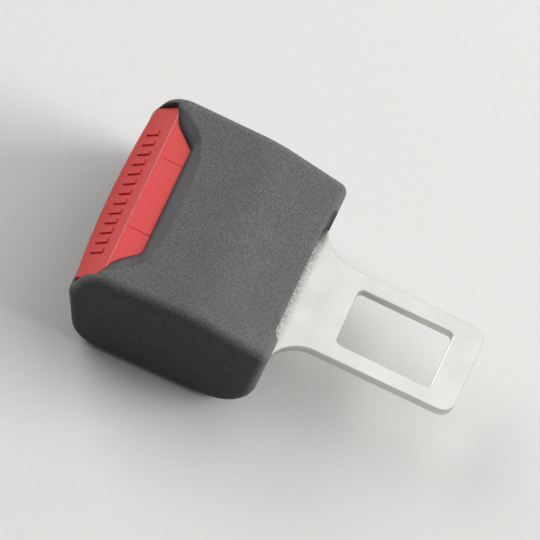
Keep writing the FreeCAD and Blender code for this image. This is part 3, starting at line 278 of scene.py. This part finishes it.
def platedSteel():
    # Strip steel, stamped, tumbled and bright nickel plated. The eye sees an even pale metal
    # with a soft bloom, fine lines along the strip, a few short scratches, and a band where the
    # tongue leaves the housing, made rougher as scuffed plating and painted darker as shade.
    s = tongueFinish
    material, tree, shader = newMaterial("nickel plated steel, stamped and tumbled",
                                         {"Metallic": 1.0})
    place = patternPlace(tree)
    clouds = noiseOf(tree, place, s["cloudMm"], 4.0, 0.55)
    lines = noiseOf(tree, stretchedPlace(tree, place, (0.03, 1.0, 1.0)), s["rollMm"], 2.0)
    marks = None
    for turn, length in s["scratches"]:
        slanted = stretchedPlace(tree, place, (length, 1.0, 1.0), turn)
        one = spread(tree, noiseOf(tree, slanted, s["scratchMm"], 1.0), 0.0, 1.0, 0.7, 0.76)
        marks = one if marks is None else calc(tree, "MAXIMUM", marks, one)
    specks = spread(tree, noiseOf(tree, place, s["speckMm"], 3.0, 0.7), 0.1, 1.0, 0.4, 0.6)
    # painted shade on the tongue by the housing, mottled; the same mask makes it rougher as real scuffing
    root = fadeMm(tree, placeParts(tree, place)[0], s["rootX"])
    scuffAndShade = calc(tree, "MULTIPLY", root, specks)
    dull = calc(tree, "MAXIMUM", scuffAndShade, calc(tree, "MULTIPLY", spread(tree, clouds, 0.0, 1.0), 0.12))
    body = blendOf(tree, dull, s["colour"], s["dullColour"])
    worn = edgeWear(tree, 0.5, 0.75, 0.98)
    bright = calc(tree, "MAXIMUM", calc(tree, "MULTIPLY", marks, 0.35), calc(tree, "MULTIPLY", worn, 0.5))
    tree.links.new(blendOf(tree, bright, body, s["scratchColour"]), shader.inputs["Base Color"])
    cloudy = calc(tree, "ADD", clouds, calc(tree, "MULTIPLY", scuffAndShade, 0.4))
    tree.links.new(spread(tree, cloudy, *s["roughness"], 0.3, 0.95), shader.inputs["Roughness"])
    rolled = bumpOf(tree, lines, 0.003, 0.5)
    tree.links.new(bumpOf(tree, marks, 0.006, 0.4, rolled), shader.inputs["Normal"])
    return material


hiddenSteel = {
    # name: colour, darker colour, roughness, grain in mm, along which axis it is drawn or rolled
    "frame": ("zinc plated steel, pressed", "#bdbfbb", "#8f928f", (0.34, 0.5), 0.35, (0.06, 1.0, 1.0)),
    "latch": ("zinc plated steel, hardened", "#a6a8a6", "#7b7d7c", (0.3, 0.45), 0.3, (0.06, 1.0, 1.0)),
    "pin": ("steel, turned", "#b0b1b1", "#87888a", (0.22, 0.34), 0.12, (1.0, 0.05, 1.0)),
    "spring": ("spring steel, drawn", "#9a9b9d", "#6c6d70", (0.22, 0.36), 0.2, (1.0, 1.0, 1.0)),
    "screw": ("steel, black zinc plated", "#4c4d50", "#35363a", (0.34, 0.46), 0.25, (1.0, 1.0, 1.0)),
}


def workedSteel(kind):
    # The steel of a piece inside. The eye sees a satin grey with the lines of its rolling,
    # turning or drawing, darker in patches, and brighter along the edges that rub.
    name, colour, dark, roughness, grainMm, along = hiddenSteel[kind]
    material, tree, shader = newMaterial(name, {"Metallic": 1.0})
    place = patternPlace(tree)
    lines = noiseOf(tree, stretchedPlace(tree, place, along), grainMm, 3.0)
    patches = noiseOf(tree, place, 4.0, 4.0, 0.6)
    worn = edgeWear(tree, 0.3, 0.7, 0.97)
    body = blendOf(tree, spread(tree, patches, 0.0, 0.8), colour, dark)
    rubbed = calc(tree, "MULTIPLY", worn, 0.6)
    tree.links.new(blendOf(tree, rubbed, body, "#dededc"), shader.inputs["Base Color"])
    tree.links.new(spread(tree, patches, *roughness), shader.inputs["Roughness"])
    tree.links.new(bumpOf(tree, lines, 0.006, 0.6), shader.inputs["Normal"])
    return material


hiddenPlastic = {
    # name, colour, paler colour, roughness
    "guide": ("black acetal, moulded", "#2a2b2b", "#3a3b3b", (0.36, 0.5)),
    "ejector": ("natural acetal, moulded", "#dedcd3", "#e8e7e0", (0.3, 0.44)),
}


def slickAcetal(kind):
    # Acetal, moulded: a waxy, even plastic with faint clouds and the fine marks of sliding
    name, colour, pale, roughness = hiddenPlastic[kind]
    material, tree, shader = newMaterial(name, {"IOR": 1.48, "Subsurface Weight": 0.05,
                                                "Subsurface Scale": 0.0006})
    place = patternPlace(tree)
    clouds = noiseOf(tree, place, 5.0, 3.0)
    slides = noiseOf(tree, stretchedPlace(tree, place, (0.05, 1.0, 1.0)), 0.25, 2.0)
    tree.links.new(blendOf(tree, spread(tree, clouds, 0.0, 1.0), colour, pale), shader.inputs["Base Color"])
    tree.links.new(spread(tree, slides, *roughness), shader.inputs["Roughness"])
    tree.links.new(bumpOf(tree, slides, 0.006, 0.5), shader.inputs["Normal"])
    return material


finishes = {
    "black": blackMouldedAbs(),
    "red": redMouldedAbs(),
    "plated": platedSteel(),
    "guide": slickAcetal("guide"),
    "ejector": slickAcetal("ejector"),
}
for kind in hiddenSteel:
    finishes[kind] = workedSteel(kind)
nodeFinish = {
    "upper_cover": "black", "lower_cover": "black", "press_button": "red", "tongue_plate": "plated",
    "buckle_frame": "frame", "latch_plate": "latch", "latch_pin": "pin", "pin_clip": "spring",
    "ejector": "ejector", "tongue_guide": "guide", "button_spring_left": "spring",
    "button_spring_right": "spring", "ejector_spring": "spring", "latch_spring": "spring",
    "frame_rivet_left": "pin", "frame_rivet_right": "pin", "cover_screw_front_left": "screw",
    "cover_screw_front_right": "screw", "cover_screw_rear_left": "screw", "cover_screw_rear_right": "screw",
}
for name, finish in nodeFinish.items():
    nodes[name].data.materials.clear()
    nodes[name].data.materials.append(finishes[finish])
print("finishes on the pieces:", len(finishes))



def rodAlong(name, line, thickness, outward, around, finish):
    # Round each point of a line the skin is a circle: the line's point, plus the thickness times
    # the cosine of the angle outward, plus the thickness times its sine across. Both ends are closed.
    along = np.gradient(line, axis=0)
    along /= np.linalg.norm(along, axis=1, keepdims=True)
    outward = outward - along * (outward * along).sum(axis=1, keepdims=True)
    outward /= np.linalg.norm(outward, axis=1, keepdims=True)
    across = np.cross(along, outward)
    angle = np.linspace(0, 2 * np.pi, around, endpoint=False)[None, :, None]
    circle = np.cos(angle) * outward[:, None, :] + np.sin(angle) * across[:, None, :]
    skin = line[:, None, :] + np.reshape(thickness, (-1, 1, 1)) * circle
    points = np.vstack([skin.reshape(-1, 3), line[:1], line[-1:]])
    here, beside = np.arange(around), (np.arange(around) + 1) % around
    rows = np.arange(len(line) - 1)[:, None] * around
    sides = np.stack([rows + here, rows + beside, rows + around + beside, rows + around + here], axis=-1)
    last = (len(line) - 1) * around
    firstCap = np.stack([np.full(around, last + around), beside, here], axis=-1)
    lastCap = np.stack([np.full(around, last + around + 1), last + here, last + beside], axis=-1)
    mesh = bpy.data.meshes.new(name)
    faces = sides.reshape(-1, 4).tolist() + firstCap.tolist() + lastCap.tolist()
    mesh.from_pydata(points.tolist(), [], faces)
    mesh.polygons.foreach_set("use_smooth", np.ones(len(mesh.polygons), dtype=bool))
    mesh.materials.append(finishes[finish])
    piece = bpy.data.objects.new(name, mesh)
    bpy.context.scene.collection.objects.link(piece)
    return piece


def evened(values, width, mode, **more):
    # each value becomes the mean of itself and its neighbours, width of them in all
    padded = np.pad(values, width // 2, mode=mode, **more)
    return np.convolve(padded, np.ones(width) / width, mode="valid")


# Springs: the four coils, with their end turns wound close as on real compression springs
springs = {
    # for each CAD piece: the way it points, turns, wire in mm, the joint that squeezes it,
    # its fixed end in mm along that way, and how much of its length is left at the joint's limit
    "button_spring_left": ("X", 9.0, 0.5, "button_slide", 13.25, 0.573),
    "button_spring_right": ("X", 9.0, 0.5, "button_slide", 13.25, 0.573),
    "ejector_spring": ("X", 8.0, 0.6, "ejector_slide", 11.8, 0.44),
    # it shortens to 0.69, but flattens further because it can't lean with the tilted latch
    "latch_spring": ("Z", 5.5, 0.6, "latch_turn", 24.55, 0.58),
}
coilFineness = {"steps": 40, "around": 14}   # points to a turn, and round the wire


def coilSpring(name, lowest, highest, way, turns, wireMm):
    # A round wire on a helix. Angle grows evenly along the wire. The place along the spring grows
    # by one wire thickness in the first and the last turn, and evenly between them.
    axis = "XYZ".index(way)
    side, rise = [other for other in range(3) if other != axis]
    middle = (np.array(lowest) + np.array(highest)) / 2
    wire = wireMm * mm / 2
    radius = (highest[side] - lowest[side]) / 2 - wire
    length = highest[axis] - lowest[axis] - 2 * wire
    turn = np.linspace(0.0, turns, int(turns * coilFineness["steps"]) + 1)
    climb = np.interp(turn, [0.0, 1.0, turns - 1.0, turns], [0.0, 2 * wire, length - 2 * wire, length])
    line = np.zeros((len(turn), 3))
    line[:, axis] = lowest[axis] + wire + evened(climb, 13, "edge")
    line[:, side] = middle[side] + radius * np.cos(2 * np.pi * turn)
    line[:, rise] = middle[rise] + radius * np.sin(2 * np.pi * turn)
    outward = line - middle
    outward[:, axis] = 0.0
    return rodAlong(name, line, wire, outward, coilFineness["around"], "spring")


for name, (way, turns, wireMm, joint, fixedEnd, kept) in springs.items():
    lowest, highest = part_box(name)
    coil = coilSpring(name.replace("spring", "coil"), lowest, highest, way, turns, wireMm)
    anchor = (Vector(lowest) + Vector(highest)) / 2
    anchor["XYZ".index(way)] = fixedEnd * mm
    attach(coil, "housing")
    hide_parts(name)
    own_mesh(coil)
print("springs wound:", len(springs))

# The fine bead on the near side, where two slides of the housing's mould meet
seam = {
    "xz": ((0.9, 2.6), (6.85, 4.2), (13.2, 6.1), (18.4, 8.8), (19.8, 11.0), (20.6, 12.7)),   # in mm
    "radius": 0.13,
    "sunk": 0.06,            # how deep its middle lies in the wall, in mm
    "steps": 140, "around": 10,
    "outsideY": -60.0,       # where the rays towards the wall start, in mm
}


def seamBead(s):
    # A thin rod along a smooth line on the wall. The line's height over its run is worked out by
    # interpolation, its depth is where a ray from outside meets the cover, and the rod's
    # thickness swells from nothing at each end as the square root of a sine.
    knots = np.array(s["xz"])
    run = np.concatenate([[0.0], np.cumsum(np.hypot(*np.diff(knots, axis=0).T))])
    along = np.linspace(0.0, run[-1], s["steps"])
    line = np.zeros((s["steps"], 3))
    for column, knot in ((0, 0), (2, 1)):
        line[:, column] = evened(np.interp(along, run, knots[:, knot]), 29, "reflect", reflect_type="odd")
    missed = 0
    for index, (x, _, z) in enumerate(line):
        met, place, _, _ = nodes["lower_cover"].ray_cast((x * mm, s["outsideY"] * mm, z * mm), (0, 1, 0))
        missed += not met
        line[index, 1] = place.y / mm + s["sunk"] if met else line[index - 1, 1]
    print("seam points that missed the cover:", missed)
    line[:, 1] = evened(line[:, 1], 7, "edge")
    swell = s["radius"] * np.sqrt(np.sin(np.pi * np.linspace(0.002, 0.998, s["steps"])))
    outward = np.tile([0.0, -1.0, 0.0], (s["steps"], 1))
    piece = rodAlong("mould_seam", line * mm, swell * mm, outward, s["around"], "black")
    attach(piece, "housing")


seamBead(seam)
print("mould seam laid on the near side")

# Floor and light
studio = {
    "floorSize": 3.0,
    "floorColour": "#f0efed", "fibreColour": "#eeedeb", "fibreMm": 1.4, "fibreDepth": 0.004,
    "bounceColour": "#535251",                       # the darker grey that it lights the object with
    "floorDropMm": 0.02,                             # so that it and the flat bottom aren't in one plane
    "skyColour": "#f6f6f5", "skyStrength": 0.13,     # what lights the object from all round
    "backdropStrength": 0.64,                        # what the camera, metal and gloss see of it
}


def seenDirectly(tree):
    # 1 for what the camera, gloss and glass see, 0 for the light that falls on the object
    path = addNode(tree, "ShaderNodeLightPath").outputs
    return calc(tree, "MAXIMUM", calc(tree, "MAXIMUM", path["Is Camera Ray"], path["Is Glossy Ray"]),
                path["Is Transmission Ray"])


bpy.ops.mesh.primitive_plane_add(size=studio["floorSize"], location=(0, 0, -studio["floorDropMm"] * mm))
floor = bpy.context.object
floor.name = "paperFloor"
floorMaterial, floorTree, floorShader = newMaterial("white paper, matt",
                                                    {"Roughness": 0.95, "Specular IOR Level": 0.1})
fibres = noiseOf(floorTree, patternPlace(floorTree), studio["fibreMm"], 3.0, 0.6)
paper = blendOf(floorTree, spread(floorTree, fibres, 0.0, 1.0), studio["floorColour"], studio["fibreColour"])
floorTree.links.new(blendOf(floorTree, seenDirectly(floorTree), studio["bounceColour"], paper),
                    floorShader.inputs["Base Color"])
floorTree.links.new(bumpOf(floorTree, fibres, studio["fibreDepth"], 0.15), floorShader.inputs["Normal"])
floor.data.materials.append(floorMaterial)

world = bpy.data.worlds.new("studio")
bpy.context.scene.world = world
world.use_nodes = True
worldTree = world.node_tree
worldTree.nodes.clear()
strength = spread(worldTree, seenDirectly(worldTree), studio["skyStrength"], studio["backdropStrength"],
                  0.0, 1.0)
sky = addNode(worldTree, "ShaderNodeBackground", links={"Strength": strength})
sky.inputs["Color"].default_value = linear(studio["skyColour"])
addNode(worldTree, "ShaderNodeOutputWorld", links={"Surface": sky.outputs["Background"]})

lamps = {
    # place and target in metres, width and height of the soft box, watts, and whether gloss shows it.
    # The side cloth is kept out of the gloss, so that it tells the crease without whitening the metal.
    "softBox": ((0.8, 0.9, 1.15), (0.01, 0.0, 0.015), 2.6, 2.2, 15.0, True),
    "sideCloth": ((1.5, 0.42, 0.56), (0.01, 0.0, 0.015), 1.1, 0.9, 29.0, False),
    "buttonBox": ((-1.15, 0.65, 0.7), (-0.01, 0.0, 0.015), 1.2, 1.1, 13.0, True),
}


def softLamp(name, place, target, width, height, watts, shines):
    lamp = bpy.data.lights.new(name, "AREA")
    lamp.shape = "RECTANGLE"
    lamp.size = width
    lamp.size_y = height
    lamp.energy = watts
    holder = bpy.data.objects.new(name, lamp)
    bpy.context.scene.collection.objects.link(holder)
    holder.location = place
    holder.visible_glossy = shines
    holder.rotation_euler = (Vector(target) - Vector(place)).to_track_quat("-Z", "Y").to_euler()


for name, settings in lamps.items():
    softLamp(name, *settings)
print("floor and lamps set")

# Camera, at the photograph's place
cameraPlace = {
    "azimuth": -0.964, "elevation": 58.84, "roll": 26.314,
    "target": (14.147, 3.461, 12.0), "distance": 3503.0, "focalPixels": 17016.5, "imagePixels": 540,
}


def addCamera(s):
    azimuth, elevation, roll = (math.radians(s[key]) for key in ("azimuth", "elevation", "roll"))
    back = Vector((math.sin(azimuth) * math.cos(elevation), -math.cos(azimuth) * math.cos(elevation),
                   math.sin(elevation)))
    level = Vector((math.cos(azimuth), math.sin(azimuth), 0))
    rise = back.cross(level)
    right = math.cos(roll) * level + math.sin(roll) * rise
    up = back.cross(right)
    data = bpy.data.cameras.new("photoCamera")
    data.sensor_width = 36.0
    data.lens = s["focalPixels"] / s["imagePixels"] * data.sensor_width
    data.clip_end = 20.0
    camera = bpy.data.objects.new("photoCamera", data)
    bpy.context.scene.collection.objects.link(camera)
    place = (Vector(s["target"]) + back * s["distance"]) * mm
    axes = Matrix((right, up, back)).transposed().to_4x4()
    camera.matrix_world = Matrix.Translation(place) @ axes
    bpy.context.scene.camera = camera


addCamera(cameraPlace)
bpy.context.scene.view_settings.view_transform = "Standard"

print("scene ready")
